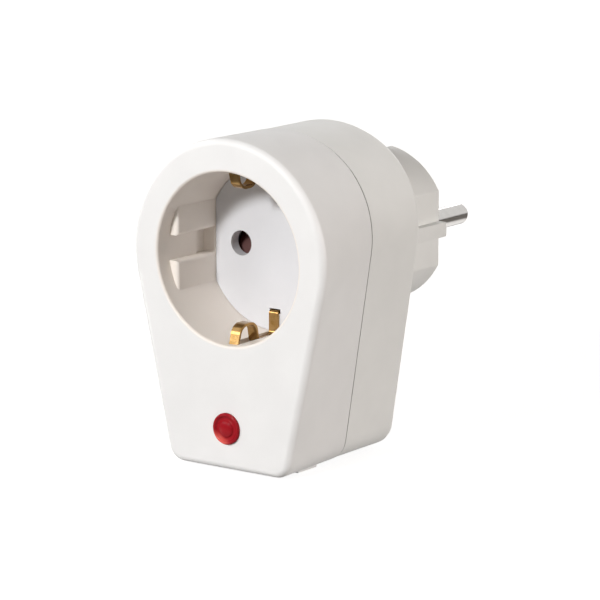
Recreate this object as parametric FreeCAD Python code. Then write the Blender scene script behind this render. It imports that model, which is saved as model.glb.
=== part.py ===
import FreeCAD, Part

import math
import os

from FreeCAD import Vector

# Surge protector adapter: a housing of two shells with an earthed socket in front and the
# matching two-pin earthed plug behind. Millimetres. +Z is up and +Y runs out along the plug
# pins. The origin is the middle of the plug's pin face, on the line through both centres.

# Depths along Y
pin_length = 19.0
plug_length = 19.65
rear_depth = 20.0
front_depth = 20.9
socket_depth = 18.0

# Housing outline, seen from the front: a crown about the socket, straight tapering sides and a
# flat foot with round corners. It is round at the face and squarer from the seam on.
face_foot_half_width = 17.0
face_foot_corner = 4.0
body_foot_half_width = 17.6
body_foot_corner = 6.0
body_side_gap = 1.3
body_top_gap = 3.35
body_squareness = 2.8
face_flare = 2.0
face_rise = 0.35
face_crown_corner = 27.0
crown_arc_half_angle = 28.0
foot_drop = 47.9
wall = 2.2
front_round = 1.5
rear_round = 2.0
rear_inset = 0.1
rear_draft = 0.05
seam_gap = 0.4
lap_wall = 0.9
lap_length = 1.6
fit_gap = 0.08
seat_gap = 0.1
foot_pad_height = 0.6
foot_pad_width = 4.5
foot_pad_length = 7.1
foot_pad_start = 9.0

# Socket recess
recess_rim_radius = 19.5
recess_floor_radius = 19.35
recess_rim_round = 0.6
tube_wall = 1.6
flat_distance = 16.9
guide_start = 4.2
guide_channel = 5.8
guide_round = 0.7
end_pocket_depth = 0.9
end_pocket_length = 4.0
strap_groove_depth = 1.1
strap_groove_gap = 0.15
strap_groove_lead = 0.6
pin_spacing = 19.0
pin_hole_radius = 2.9

# Socket insert that closes the recess, and the contact carrier behind it
insert_flange = 1.5
insert_plug = 1.2
insert_round = 0.35
insert_gap = 0.05
column_gap = 0.3
strap_slot_gap = 0.25
hub_stud_radius = 2.0
chamber_depth = 5.1
carrier_plate = 1.5
carrier_rim = 1.4
ring_window_margin = 3.0
cell_wall = 1.0
cell_half_width = 3.5
cell_half_height = 3.2
cell_length = 14.2
root = 0.5
carrier_hole_gap = 0.1

# Child-protection shutter and its spring
shutter_radius = 13.2
shutter_half_angle = 20.0
shutter_travel = 38.0
shutter_gap = 0.3
lobe_depth = 3.4
ramp_slope = 32.0
hub_radius = 3.0
hub_clearance = 0.05
hub_depth = 4.5
peg_radius = 0.7
hairpin_wire = 0.3
hairpin_gap = 0.15
hairpin_overhang = 1.2
hairpin_peg_distance = 9.0
stop_peg_distance = 11.6
stop_peg_radius = 0.9
stop_clearance = 0.15

# Sheet metal
strip = 0.6
clip_width = 2.5
clip_leg_top = 14.3
clip_hump_inner = 15.2
clip_hump_front = 2.7
clip_hump_rear = 10.2
strap = 0.8
strap_half_width = 2.4
strap_reach = 9.6
rivet_distance = 8.0
rivet_radius = 0.8
rivet_head_radius = 1.2
rivet_head = 0.5
rivet_gap = 0.05
contact_width = 5.0
contact_gap = 4.6
contact_base_inset = 1.6
contact_setback = 0.4
contact_flare = 0.5
contact_lead = 2.2
contact_splay = 0.1
contact_lead_bend = 1.5
contact_base_bend = 1.0
strap_standoff = 1.4
busbar_bend = 0.6
clip_lean = 1.0
clip_bends = [0.8, 0.5, 1.2, 0.7, 2.4, 2.6]
clip_tail = 0.6
strip_tail = 0.8
strip_bend = 0.8

# Plug
plug_radius = 18.35
plug_flat_distance = 16.15
plug_wall = 1.5
plug_round_wall = 2.0
plug_end_wall = 3.0
plug_round = 0.9
plug_side_round = 0.8
ridge_half_width = 1.7
earth_groove_half_width = 3.0
earth_groove_depth = 3.04
earth_groove_lead = 3.0
earth_strip_half_width = 2.0
earth_strip_setback = 2.04
earth_leg_setback = 14.6
pin_radius = 2.4
pin_tip_radius = 1.6
pin_seat_radius = 2.6
pin_tip_length = 1.0
pin_collar_radius = 3.6
pin_collar_length = 3.1
pin_stud_radius = 1.5

# Screws that hold the shells together
screw_standoff = 1.6
screw_angle = 45.0
low_screw_margin = 3.7
boss_radius = 2.2
boss_tall = 1.7
column_radius = 2.9
screw_radius = 1.25
screw_head_radius = 2.1
screw_head_length = 1.8
screw_length = 13.0
screw_head_depth = 12.6
screw_hole_gap = 0.2
screw_point = 1.5
screw_bite = 0.05
drive_depth = 1.1
drive_half_width = 0.3

# Protection circuit
board_depth = 13.0
board_thickness = 1.6
board_half_width = 14.6
post_place = 9.2
post_half_width = 1.0
post_grip = 2.5
post_overhang = 1.4
clamp_height = 3.2
clamp_half_thickness = 0.7
board_gap = 1.55
board_margin = 2.85
varistor_gap = 0.5
varistor_thickness = 5.0
varistor_pitch = 10.0
lead_radius = 0.4
fuse_radius = 1.9
fuse_length = 8.0
resistor_radius = 1.2
resistor_length = 6.5
axial_inset = 4.85
lead_reach = 1.5
axial_offset = 8.0
wire_radius = 0.9
wire_bend = 2.5
wire_inset = 1.6
wire_gap = 0.33
wire_end = 5.0

# Indicator
indicator_gap = 0.65
lens_flange_radius = 3.62
lens_flange = 0.75
lens_barrel_radius = 3.0
lens_barrel_length = 6.5
lens_bore = 2.2
lens_dome_radius = 1.95
lamp_radius = 1.8
lamp_start = 2.0
lamp_length = 8.0
lamp_lead_offset = 0.9

# Stations along Y that the pieces share
rear_face = -plug_length
seam = rear_face - rear_depth
front_face = seam - front_depth
floor = front_face + socket_depth
insert_back = floor + insert_plug + insert_flange
carrier_front = insert_back + chamber_depth
carrier_back = carrier_front + carrier_plate
cell_back = carrier_back + cell_length
end_wall_inner = -plug_end_wall
board_front = front_face + board_depth
board_back = board_front + board_thickness
plug_cavity_radius = plug_radius - plug_round_wall
earth_groove_floor = plug_radius - earth_groove_depth
earth_strip_outer = plug_radius - earth_strip_setback
plug_cavity_half_height = earth_groove_floor - plug_wall
strap_front = carrier_back + strap_standoff
clip_leg = strap_front - strip / 2
earth_leg = -earth_leg_setback
half_pitch = pin_spacing / 2
busbar_web = cell_half_height - strap / 2 - seat_gap
contact_base = cell_back - contact_base_inset

# Sizes about the recess that the pieces share
tube_radius = recess_rim_radius + tube_wall
body_half_width = tube_radius + wall + body_side_gap
body_top = tube_radius + wall + body_top_gap
body_crown_corner = body_half_width - body_squareness
face_half_width = body_half_width + face_flare
face_top = body_top + face_rise
screw_circle = tube_radius + screw_standoff

# Stations below the axis that the pieces share
low_screw_drop = foot_drop - low_screw_margin
indicator_drop = low_screw_drop - boss_radius - lens_barrel_radius - indicator_gap
board_top = tube_radius + board_gap
board_bottom = indicator_drop + board_margin
axial_drop = board_top + axial_inset
wire_drop = board_top + wire_inset
varistor_top = wire_drop + wire_radius + varistor_gap
varistor_height = low_screw_drop - column_radius - varistor_gap - varistor_top
varistor_depth = rear_face - wall - board_back - 4 * varistor_gap
varistor_radius = min(varistor_height, varistor_depth) / 2
varistor_drop = varistor_top + varistor_height / 2


def y_cylinder(x, z, radius, start, end):
    """Cylinder along Y from start to end."""
    return Part.makeCylinder(radius, end - start, Vector(x, start, z), Vector(0, 1, 0))


def block(x0, x1, y0, y1, z0, z1):
    """Box between two corners."""
    return Part.makeBox(x1 - x0, y1 - y0, z1 - z0, Vector(x0, y0, z0))


def turned(profile, x, z):
    """Solid of revolution about a line along Y; the profile is (radius, y) corners."""
    points = [Vector(x + radius, y, z) for radius, y in profile]
    face = Part.Face(Part.makePolygon(points + [points[0]]))
    return face.revolve(Vector(x, 0, z), Vector(0, 1, 0), 360)


def mirrored_x(shape):
    return shape.mirror(Vector(0, 0, 0), Vector(1, 0, 0))


def mirrored_z(shape):
    return shape.mirror(Vector(0, 0, 0), Vector(0, 0, 1))


def fused(shapes):
    """One solid from shapes that overlap or share faces."""
    return shapes[0].fuse(shapes[1:]).removeSplitter()


def one_solid(shape):
    """The single solid of a result, freed of its compound."""
    return shape.Solids[0] if len(shape.Solids) == 1 else shape


def edges_at(shape, test):
    """Edges whose two ends and middle all pass a test on the point."""
    found = []
    for edge in shape.Edges:
        middle = edge.valueAt((edge.FirstParameter + edge.LastParameter) / 2)
        points = [vertex.Point for vertex in edge.Vertexes] + [middle]
        if all(test(point) for point in points):
            found.append(edge)
    return found


def near(value, target):
    return abs(value - target) < 0.01


def outline(y, grow):
    """Housing outline at y, grown outwards everywhere by grow."""
    share = min(1.0, (y - front_face) / front_depth)

    def between(face, body):
        return face + (body - face) * share

    half_width = between(face_half_width, body_half_width)
    top = between(face_top, body_top)
    crown_corner = between(face_crown_corner, body_crown_corner)
    foot_corner = between(face_foot_corner, body_foot_corner)
    arc = math.radians(crown_arc_half_angle)
    offset = half_width - crown_corner
    arc_centre = top - crown_corner - offset / math.sin(arc)
    crown_x, crown_z = offset, arc_centre + offset / math.tan(arc)
    foot_x = between(face_foot_half_width, body_foot_half_width) - foot_corner
    foot_z = foot_corner - foot_drop
    across, down = foot_x - crown_x, foot_z - crown_z
    lean = math.acos((crown_corner - foot_corner) / math.hypot(across, down))
    side = math.atan2(down, across) + lean
    crown_corner += grow
    foot_corner += grow

    def corner(angle, radius, x, z):
        return x + radius * math.cos(angle), z + radius * math.sin(angle)

    crown = [corner(angle, crown_corner, crown_x, crown_z)
             for angle in (math.pi / 2 - arc, (math.pi / 2 - arc + side) / 2, side)]
    foot = [corner(angle, foot_corner, foot_x, foot_z)
            for angle in (side, (side - math.pi / 2) / 2, -math.pi / 2)]
    right = [Vector(x, y, z) for x, z in crown + foot]
    left = [Vector(-x, y, z) for x, z in crown + foot]
    return Part.Wire([
        Part.Arc(right[0], Vector(0, y, top + grow), left[0]).toShape(),
        Part.Arc(left[0], left[1], left[2]).toShape(),
        Part.makeLine(left[2], left[3]),
        Part.Arc(left[3], left[4], left[5]).toShape(),
        Part.makeLine(left[5], right[5]),
        Part.Arc(right[5], right[4], right[3]).toShape(),
        Part.makeLine(right[3], right[2]),
        Part.Arc(right[2], right[1], right[0]).toShape(),
    ])


def outline_prism(start, end, grow):
    """Straight block of the housing outline at its end."""
    return Part.Face(outline(end, grow)).extrude(Vector(0, start - end, 0))


def outline_loft(start, end, grow_start, grow_end):
    """Block of the housing outline with a mould taper."""
    return Part.makeLoft([outline(start, grow_start), outline(end, grow_end)], True, True)


def rounded_path(corners, bends):
    """Wire of straight runs joined by tangent arcs, with one bend radius per inner corner."""
    edges = []
    start = corners[0]
    for before, corner, after, bend in zip(corners, corners[1:], corners[2:], bends):
        into = (corner - before).normalize()
        out = (after - corner).normalize()
        turn = math.acos(max(-1.0, min(1.0, into.dot(out))))
        setback = bend * math.tan(turn / 2)
        first = corner - into * setback
        last = corner + out * setback
        inward = (out - into).normalize()
        centre = corner + inward * (bend / math.cos(turn / 2))
        if (first - start).Length > 1e-6:
            edges.append(Part.makeLine(start, first))
        edges.append(Part.Arc(first, centre - inward * bend, last).toShape())
        start = last
    edges.append(Part.makeLine(start, corners[-1]))
    return Part.Wire(edges)


def bent_strip(corners, bends, thickness, width):
    """Sheet strip that follows a path in the YZ or XY plane, with its width across the plane."""
    path = rounded_path(corners, bends)
    along = (corners[1] - corners[0]).normalize()
    across = (corners[1] - corners[0]).cross(corners[2] - corners[1]).normalize()
    thick = along.cross(across) * (thickness / 2)
    wide = across * (width / 2)
    points = [corners[0] + thick + wide, corners[0] - thick + wide]
    points += [corners[0] - thick - wide, corners[0] + thick - wide]
    section = Part.makePolygon(points + [points[0]])
    return one_solid(path.makePipeShell([section], True, False))


def round_wire(corners, bends, radius):
    """Round wire along a path of straight runs and tangent arcs."""
    path = rounded_path(corners, bends)
    along = (corners[1] - corners[0]).normalize()
    section = Part.Wire([Part.makeCircle(radius, corners[0], along)])
    return one_solid(path.makePipeShell([section], True, False))


def upper_screw_places():
    """Axes of the two upper screws as (x, z)."""
    angle = math.radians(screw_angle)
    x = screw_circle * math.cos(angle)
    z = screw_circle * math.sin(angle)
    return [(-x, z), (x, z)]


def screw_places():
    return upper_screw_places() + [(0, -low_screw_drop)]


def front_shell():
    """Front half: bevelled face, recess tube with its guide flats, screw bosses and lap rim."""
    outer = outline_loft(front_face, seam, 0, 0)
    rim = edges_at(outer, lambda point: near(point.y, front_face))
    outer = outer.makeFillet(front_round, rim)
    lap = outline_prism(seam - wall, seam + lap_length, -rear_inset - lap_wall - fit_gap)
    cavity = [outline_loft(front_face + wall, seam, -wall, -wall)]
    cavity.append(outline_prism(seam, seam + lap_length + 1, -wall))
    shell = fused([outer, lap]).cut(cavity)
    parts = [shell, y_cylinder(0, 0, tube_radius, front_face + wall / 2, floor + insert_plug)]
    for x, z in screw_places():
        top = seam + boss_tall
        parts.append(y_cylinder(x, z, boss_radius, front_face + wall / 2, top))
    parts += board_posts()
    parts += foot_pads()
    shell = fused(parts)
    shell = shell.cut(recess())
    holes = [indicator_hole()]
    for x, z in screw_places():
        tip = seam + boss_tall - screw_length
        holes.append(y_cylinder(x, z, screw_radius, tip, seam + boss_tall + 1))
    shell = shell.cut(holes)
    shell = shell.fuse(guide_flats()).removeSplitter()
    return one_solid(shell.cut(recess_details()))


def recess():
    """Open space of the socket recess, a slight cone with a rounded mouth."""
    depth = socket_depth + insert_plug + 1
    out, mouth = Vector(0, 1, 0), recess_rim_radius + recess_rim_round
    end = front_face + recess_rim_round
    cone = Part.makeCone(recess_rim_radius, recess_floor_radius, depth, Vector(0, front_face, 0), out)
    ring = y_cylinder(0, 0, mouth, front_face - 1, end)
    ridge = Part.makeTorus(mouth, recess_rim_round, Vector(0, end, 0), out)
    ahead = y_cylinder(0, 0, recess_rim_radius, front_face - 1, end)
    return fused([cone, ring.cut(ridge), ahead])


def guide_flats():
    """Two blocks on each side of the recess, parted by the guide channel."""
    bite = recess_rim_radius + tube_wall / 2
    start = front_face + guide_start
    end = floor + insert_plug
    ring = y_cylinder(0, 0, bite, start, end)
    side = ring.common(block(-bite, -flat_distance, start, end, -bite, bite))
    half = guide_channel / 2
    side = side.cut(block(-bite, 0, start - 1, floor, -half, half))

    def exposed(point):
        rim = near(abs(point.z), half) or near(point.y, start)
        return near(point.x, -flat_distance) and rim and point.y < floor + 0.01

    side = side.makeFillet(guide_round, edges_at(side, exposed))
    return [side, mirrored_x(side)]


def recess_details():
    """Grooves for the earth straps and the deeper ends of the guide channels."""
    half = clip_width / 2 + strap_groove_gap
    groove = recess_floor_radius + strap_groove_depth
    start = front_face + clip_hump_front - strap_groove_lead
    bottom = block(-half, half, start, floor + insert_plug, -groove, -flat_distance)
    half = guide_channel / 2
    pocket = recess_floor_radius + end_pocket_depth
    side = block(-pocket, -flat_distance, floor - end_pocket_length, floor, -half, half)
    return [bottom, mirrored_z(bottom), side, mirrored_x(side)]


def indicator_hole():
    radius = lens_barrel_radius + fit_gap
    return y_cylinder(0, -indicator_drop, radius, front_face - 1, front_face + wall + 1)


def board_posts():
    """Two slotted posts on the foot wall that hold the circuit board's lower edge."""
    posts = []
    for x in (-post_place, post_place):
        left, right = x - post_half_width, x + post_half_width
        low, top = -foot_drop + wall / 2, -board_bottom + post_grip
        post = block(left, right, front_face + wall / 2, board_back + post_overhang, low, top)
        seat = -board_bottom - fit_gap
        slot = block(left - 1, right + 1, board_front - fit_gap, board_back + fit_gap, seat, top + 1)
        posts.append(post.cut(slot))
    return posts


def foot_pads():
    """Two low pads under the front shell."""
    start = front_face + foot_pad_start
    end = start + foot_pad_length
    reach = face_foot_half_width - face_foot_corner
    bottom = -foot_drop - foot_pad_height
    pad = block(reach - foot_pad_width, reach, start, end, bottom, -foot_drop + wall / 2)
    return [pad, mirrored_x(pad)]


def rear_shell():
    """Rear half with the plug body moulded on, screw columns and the ring that holds the carrier."""
    start = seam + seam_gap
    grow = -rear_inset - rear_draft
    outer = outline_loft(start, rear_face, -rear_inset, grow)
    rim = edges_at(outer, lambda point: near(point.y, rear_face))
    outer = outer.makeFillet(rear_round, rim)
    cavity = outline_prism(start - 1, rear_face - wall, grow - wall)
    lap = outline_prism(start - 1, seam + lap_length + seat_gap, -rear_inset - lap_wall)
    shell = outer.cut([cavity, lap])
    ring_start = carrier_back + seat_gap
    ring = y_cylinder(0, 0, tube_radius, ring_start, rear_face - wall / 2)
    ring = ring.cut(y_cylinder(0, 0, tube_radius - carrier_rim, ring_start - 1, rear_face))
    window = half_pitch + ring_window_margin
    ring = ring.cut(block(-window, window, ring_start - 1, rear_face, -tube_radius - 1, 0))
    parts = [shell, ring, plug_body()]
    for x, z in screw_places():
        parts.append(y_cylinder(x, z, column_radius, seam + boss_tall + seat_gap, rear_face - wall / 2))
    parts += board_clamps()
    shell = fused(parts)
    cuts = [plug_cavity(), earth_slot(), mirrored_z(earth_slot())]
    for x, z in screw_places():
        head_seat = rear_face - screw_head_depth
        cuts.append(y_cylinder(x, z, screw_radius + screw_hole_gap, seam, rear_face + 1))
        cuts.append(y_cylinder(x, z, screw_head_radius + screw_hole_gap, head_seat, rear_face + 1))
    for x in (-half_pitch, half_pitch):
        cuts.append(y_cylinder(x, 0, pin_seat_radius + fit_gap, end_wall_inner - 1, 1))
    return one_solid(shell.cut(cuts))


def plug_body():
    """Round plug with side flats, a guide ridge on each flat and earth grooves above and below."""
    start = rear_face - wall / 2
    barrel = y_cylinder(0, 0, plug_radius, start, 0)
    flats = block(-plug_flat_distance, plug_flat_distance, start, 0, -plug_radius, plug_radius)
    body = barrel.common(flats)
    bar = block(-plug_radius, plug_radius, start, 0, -ridge_half_width, ridge_half_width)

    def flat_side(point):
        return near(abs(point.x), plug_flat_distance) and abs(point.z) > ridge_half_width

    def end(point):
        return near(point.y, 0)

    body = body.makeFillet(plug_side_round, edges_at(body, flat_side))
    body = body.makeFillet(plug_round, edges_at(body, end))
    ridge = barrel.common(bar)
    ridge = ridge.makeFillet(plug_round, edges_at(ridge, end))
    body = fused([body, ridge])
    half = earth_groove_half_width
    groove_start = earth_leg - strap - earth_groove_lead
    groove = block(-half, half, groove_start, 1, earth_groove_floor, plug_radius + 1)
    return body.cut([groove, mirrored_z(groove)])


def plug_cavity():
    """Space inside the plug for the contact cells, busbars and earth bridge."""
    half = plug_flat_distance - plug_wall
    height = plug_cavity_half_height
    start = rear_face - wall - 1
    space = block(-half, half, start, end_wall_inner, -height, height)
    return space.common(y_cylinder(0, 0, plug_cavity_radius, start, end_wall_inner))


def earth_slot():
    """Slot for the upper plug earth strip, and the notch for its turned-in end."""
    half = earth_strip_half_width + fit_gap
    back = earth_leg + strap / 2 + fit_gap
    inside = plug_cavity_half_height - root
    slot = block(-half, half, earth_leg - strap / 2 - fit_gap, back, inside, plug_radius)
    notch = block(-half, half, -plug_round - strap - fit_gap, 1, inside, plug_radius)
    return fused([slot, notch])


def board_clamps():
    """Two ribs of the rear shell that press on the circuit board."""
    ribs = []
    for side in (-1, 1):
        x = side * (board_half_width - clamp_half_thickness)
        left, right = x - clamp_half_thickness, x + clamp_half_thickness
        start, end = board_back + seat_gap, rear_face - wall / 2
        ribs.append(block(left, right, start, end, -board_top - clamp_height, -board_top))
    return ribs


def scallops(start, end):
    """Clearance for the upper screw bosses and columns in a round flange."""
    radius = column_radius + column_gap
    return [y_cylinder(x, z, radius, start - 1, end + 1) for x, z in upper_screw_places()]


def strap_passages(start, end):
    """Slots for the two socket earth clips."""
    half = clip_width / 2 + strap_slot_gap
    middle = clip_leg_top + strip / 2
    reach = strip / 2 + strap_slot_gap
    upper = block(-half, half, start - 1, end + 1, middle - reach, middle + reach)
    return [upper, mirrored_z(upper)]


def pin_passages(start, end, radius):
    return [y_cylinder(x, 0, radius, start - 1, end + 1) for x in (-half_pitch, half_pitch)]


def socket_insert():
    """Disc that closes the recess, with pin holes, strap slots and the shutter's hub stud."""
    face = floor + insert_plug
    disc = y_cylinder(0, 0, recess_floor_radius - insert_gap, floor, face)
    half = flat_distance - insert_gap
    disc = disc.common(block(-half, half, floor, face, -recess_rim_radius, recess_rim_radius))
    disc = disc.makeFillet(insert_round, edges_at(disc, lambda point: near(point.y, floor)))
    flange = y_cylinder(0, 0, tube_radius, face, insert_back)
    stud = y_cylinder(0, 0, hub_stud_radius, face, carrier_front - seat_gap)
    body = fused([disc, flange, stud])
    cuts = scallops(face, insert_back) + pin_passages(floor, insert_back, pin_hole_radius)
    cuts += strap_passages(floor, insert_back)
    return one_solid(body.cut(cuts))


def contact_carrier():
    """Cup behind the insert: rim wall, plate with two contact cells, spring peg and stops."""
    rim = y_cylinder(0, 0, tube_radius, insert_back, carrier_back)
    rim = rim.cut(y_cylinder(0, 0, tube_radius - carrier_rim, insert_back - 1, carrier_front))
    body = [rim]
    for x in (-half_pitch, half_pitch):
        width = cell_half_width + cell_wall
        height = cell_half_height + cell_wall
        body.append(block(x - width, x + width, carrier_back - root, cell_back, -height, height))
    for angle in stop_angles():
        for side in (0, 180):
            x, z = polar(stop_peg_distance, angle + side)
            start = insert_back + shutter_gap
            body.append(y_cylinder(x, z, stop_peg_radius, start, carrier_front + root))
    x, z = spring_anchor()
    body.append(y_cylinder(x, z, peg_radius, spring_plane() - hairpin_wire, carrier_front + root))
    carrier = fused(body)
    cuts = scallops(insert_back, carrier_back) + strap_passages(carrier_front, carrier_back)
    cuts += pin_passages(carrier_front, carrier_back, pin_hole_radius + carrier_hole_gap)
    for x in (-half_pitch, half_pitch):
        width = cell_half_width
        height = cell_half_height
        cuts.append(block(x - width, x + width, carrier_back, cell_back + 1, -height, height))
    return one_solid(carrier.cut(cuts))


def polar(distance, angle):
    """Point at an angle from +X towards +Z, in the XZ plane."""
    return distance * math.cos(math.radians(angle)), distance * math.sin(math.radians(angle))


def stop_angles():
    """Angles of the stops beside the right lobe, which swings upwards as it opens."""
    gap = math.degrees((stop_peg_radius + stop_clearance) / stop_peg_distance)
    return [-shutter_half_angle - gap, shutter_half_angle + shutter_travel + gap]


def spring_plane():
    return insert_back + shutter_gap + lobe_depth + hairpin_wire + hairpin_gap


def shutter():
    """Two ramped lobes on a hub. A plug's pins push the ramps and turn it out of their way."""
    front = insert_back + shutter_gap
    back = front + lobe_depth
    lobe = sector(shutter_radius, shutter_half_angle, front, back)
    ramp = lobe_ramp(front)
    lobe = lobe.cut(ramp)
    web = y_cylinder(0, 0, shutter_radius * 0.62, back - 1.2, back)
    web = web.common(block(-shutter_radius, shutter_radius, front, back, -hub_radius, hub_radius))
    hub = y_cylinder(0, 0, hub_radius, front, front + hub_depth)
    x, z = spring_catch()
    pegs = [y_cylinder(x, z, peg_radius, back - 0.5, spring_plane() + hairpin_wire)]
    other_lobe = lobe.copy()
    other_lobe.rotate(Vector(0, 0, 0), Vector(0, 1, 0), 180)
    body = fused([hub, web, lobe, other_lobe] + pegs)
    bore = y_cylinder(0, 0, hub_stud_radius + hub_clearance, front - 1, front + hub_depth + 1)
    return one_solid(body.cut(bore))


def sector(radius, half_angle, start, end):
    """Sector of a disc about the +X direction."""
    x, z = polar(radius, half_angle)
    arc = Part.Arc(Vector(x, start, -z), Vector(radius, start, 0), Vector(x, start, z)).toShape()
    sides = [Part.makeLine(Vector(0, start, 0), Vector(x, start, -z)), arc]
    sides.append(Part.makeLine(Vector(x, start, z), Vector(0, start, 0)))
    return Part.Face(Part.Wire(sides)).extrude(Vector(0, end - start, 0))


def lobe_ramp(front):
    """Wedge cut from the right lobe: its upper end stands nearest the pin hole."""
    reach = half_pitch * math.sin(math.radians(shutter_half_angle)) + 0.2
    drop = min(2 * reach * math.tan(math.radians(ramp_slope)), lobe_depth - 0.6)
    inner = hub_radius + 0.8
    points = [Vector(inner, front - 1, reach), Vector(inner, front, reach)]
    points += [Vector(inner, front + drop, -reach), Vector(inner, front + drop, -2 * reach)]
    points += [Vector(inner, front - 1, -2 * reach)]
    face = Part.Face(Part.makePolygon(points + [points[0]]))
    return face.extrude(Vector(shutter_radius, 0, 0))


def spring_catch():
    """Peg on the shutter's back that the spring's moving leg pushes."""
    return polar(hairpin_peg_distance, shutter_half_angle - 10)


def spring_anchor():
    """Peg on the carrier that holds the spring's fixed leg."""
    return polar(hairpin_peg_distance, shutter_half_angle + shutter_travel + 25)


def shutter_spring():
    """Hairpin spring: one loop round the hub and two legs that rest on the pegs."""
    loop = hub_radius + hairpin_wire + hairpin_gap
    y = spring_plane()
    first_leg = leg_to_loop(spring_anchor(), loop, 1, y)
    second_leg = leg_to_loop(spring_catch(), loop, -1, y)
    low = Vector(-loop * math.cos(math.radians(40)), y, -loop * math.sin(math.radians(40)))
    arc = Part.Arc(first_leg[1], low, second_leg[1]).toShape()
    path = Part.Wire([Part.makeLine(*first_leg), arc, Part.makeLine(second_leg[1], second_leg[0])])
    along = first_leg[1] - first_leg[0]
    section = Part.Wire([Part.makeCircle(hairpin_wire, first_leg[0], along)])
    return one_solid(path.makePipeShell([section], True, False))


def leg_to_loop(peg, loop, side, y):
    """Ends of a leg that passes a peg on one side and runs tangent into the loop."""
    x, z = peg
    distance = math.hypot(x, z)
    bearing = math.atan2(z, x)
    offset = peg_radius + hairpin_wire + hairpin_gap / 3
    lean = math.asin((loop - offset) / distance)
    normal = bearing + side * (math.pi / 2 - lean)
    touch = Vector(loop * math.cos(normal), y, loop * math.sin(normal))
    near_peg = Vector(x + offset * math.cos(normal), y, z + offset * math.sin(normal))
    past = (near_peg - touch).normalize() * hairpin_overhang
    return near_peg + past, touch


def socket_contact():
    """Right-hand fork contact that grips a plug pin from both sides."""
    mouth = carrier_back + contact_setback
    throat = mouth + contact_lead
    half = contact_gap / 2 + strip / 2
    corners = [
        Vector(half_pitch + half + contact_flare, mouth, 0),
        Vector(half_pitch + half, throat, 0),
        Vector(half_pitch + half + contact_splay, contact_base, 0),
        Vector(half_pitch - half - contact_splay, contact_base, 0),
        Vector(half_pitch - half, throat, 0),
        Vector(half_pitch - half - contact_flare, mouth, 0),
    ]
    bends = [contact_lead_bend, contact_base_bend, contact_base_bend, contact_lead_bend]
    body = bent_strip(corners, bends, strip, contact_width)
    hole = y_cylinder(half_pitch, 0, rivet_radius + rivet_gap, contact_base - 1, contact_base + 1)
    return one_solid(body.cut(hole))


def busbar():
    """Right-hand bracket from the socket contact's base to the plug pin's stud."""
    front_foot = contact_base + strip / 2 + strap / 2
    rear_foot = end_wall_inner - pin_collar_length - strap / 2
    web = -busbar_web
    corners = [
        Vector(half_pitch, front_foot, contact_width / 2),
        Vector(half_pitch, front_foot, web),
        Vector(half_pitch, rear_foot, web),
        Vector(half_pitch, rear_foot, contact_width / 2),
    ]
    body = bent_strip(corners, [busbar_bend, busbar_bend], strap, contact_width)
    rivet_hole = y_cylinder(half_pitch, 0, rivet_radius + rivet_gap, front_foot - 1, front_foot + 1)
    stud_hole = y_cylinder(half_pitch, 0, pin_stud_radius + rivet_gap, rear_foot - 1, rear_foot + 1)
    return one_solid(body.cut([rivet_hole, stud_hole]))


def rivet(x, z, start, end):
    """Rivet through two sheets that lie between start and end, with a head on each side."""
    profile = [
        (0, start - rivet_head),
        (rivet_head_radius * 0.7, start - rivet_head),
        (rivet_head_radius, start - rivet_head * 0.4),
        (rivet_head_radius, start),
        (rivet_radius, start),
        (rivet_radius, end),
        (rivet_head_radius, end),
        (rivet_head_radius, end + rivet_head * 0.4),
        (rivet_head_radius * 0.7, end + rivet_head),
        (0, end + rivet_head),
    ]
    return turned(profile, x, z)


def contact_rivets():
    start = contact_base - strip / 2
    end = start + strip + strap
    return Part.makeCompound([rivet(x, 0, start, end) for x in (-half_pitch, half_pitch)])


def plug_pin():
    """Right-hand plug pin: chamfered tip, seat in the end wall, collar and a peened stud."""
    collar = end_wall_inner - pin_collar_length
    foot = collar - strap
    profile = [
        (0, foot - 1.0),
        (pin_stud_radius + 0.2, foot - 1.0),
        (pin_stud_radius + 0.5, foot - 0.6),
        (pin_stud_radius + 0.5, foot),
        (pin_stud_radius, foot),
        (pin_stud_radius, collar),
        (pin_collar_radius, collar),
        (pin_collar_radius, end_wall_inner),
        (pin_seat_radius, end_wall_inner),
        (pin_seat_radius, 0),
        (pin_radius, 0),
        (pin_radius, pin_length - pin_tip_length),
        (pin_tip_radius + 0.35, pin_length - 0.25 * pin_tip_length),
        (pin_tip_radius, pin_length),
        (0, pin_length),
    ]
    return turned(profile, half_pitch, 0)


def earth_clip():
    """Lower socket earth clip: leg behind the plate, slot, leg on the floor, strap and hump."""
    inside = rivet_distance - rivet_head_radius - clip_tail
    top = clip_leg_top + strip / 2
    run = recess_floor_radius + strap_groove_depth - strip / 2 - insert_gap
    on_floor = floor - strip / 2 - insert_gap
    hump = clip_hump_inner + strip / 2
    front = front_face + clip_hump_front
    rear = front_face + clip_hump_rear
    corners = [
        Vector(0, clip_leg, -inside),
        Vector(0, clip_leg, -top),
        Vector(0, on_floor, -top),
        Vector(0, on_floor, -run),
        Vector(0, rear, -run),
        Vector(0, rear - clip_lean, -hump),
        Vector(0, front + 1.2 * clip_lean, -hump),
        Vector(0, front, -run + 2 * insert_gap),
    ]
    body = bent_strip(corners, clip_bends, strip, clip_width)
    hole = y_cylinder(0, -rivet_distance, rivet_radius + rivet_gap, clip_leg - 1, clip_leg + 1)
    return one_solid(body.cut(hole))


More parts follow.
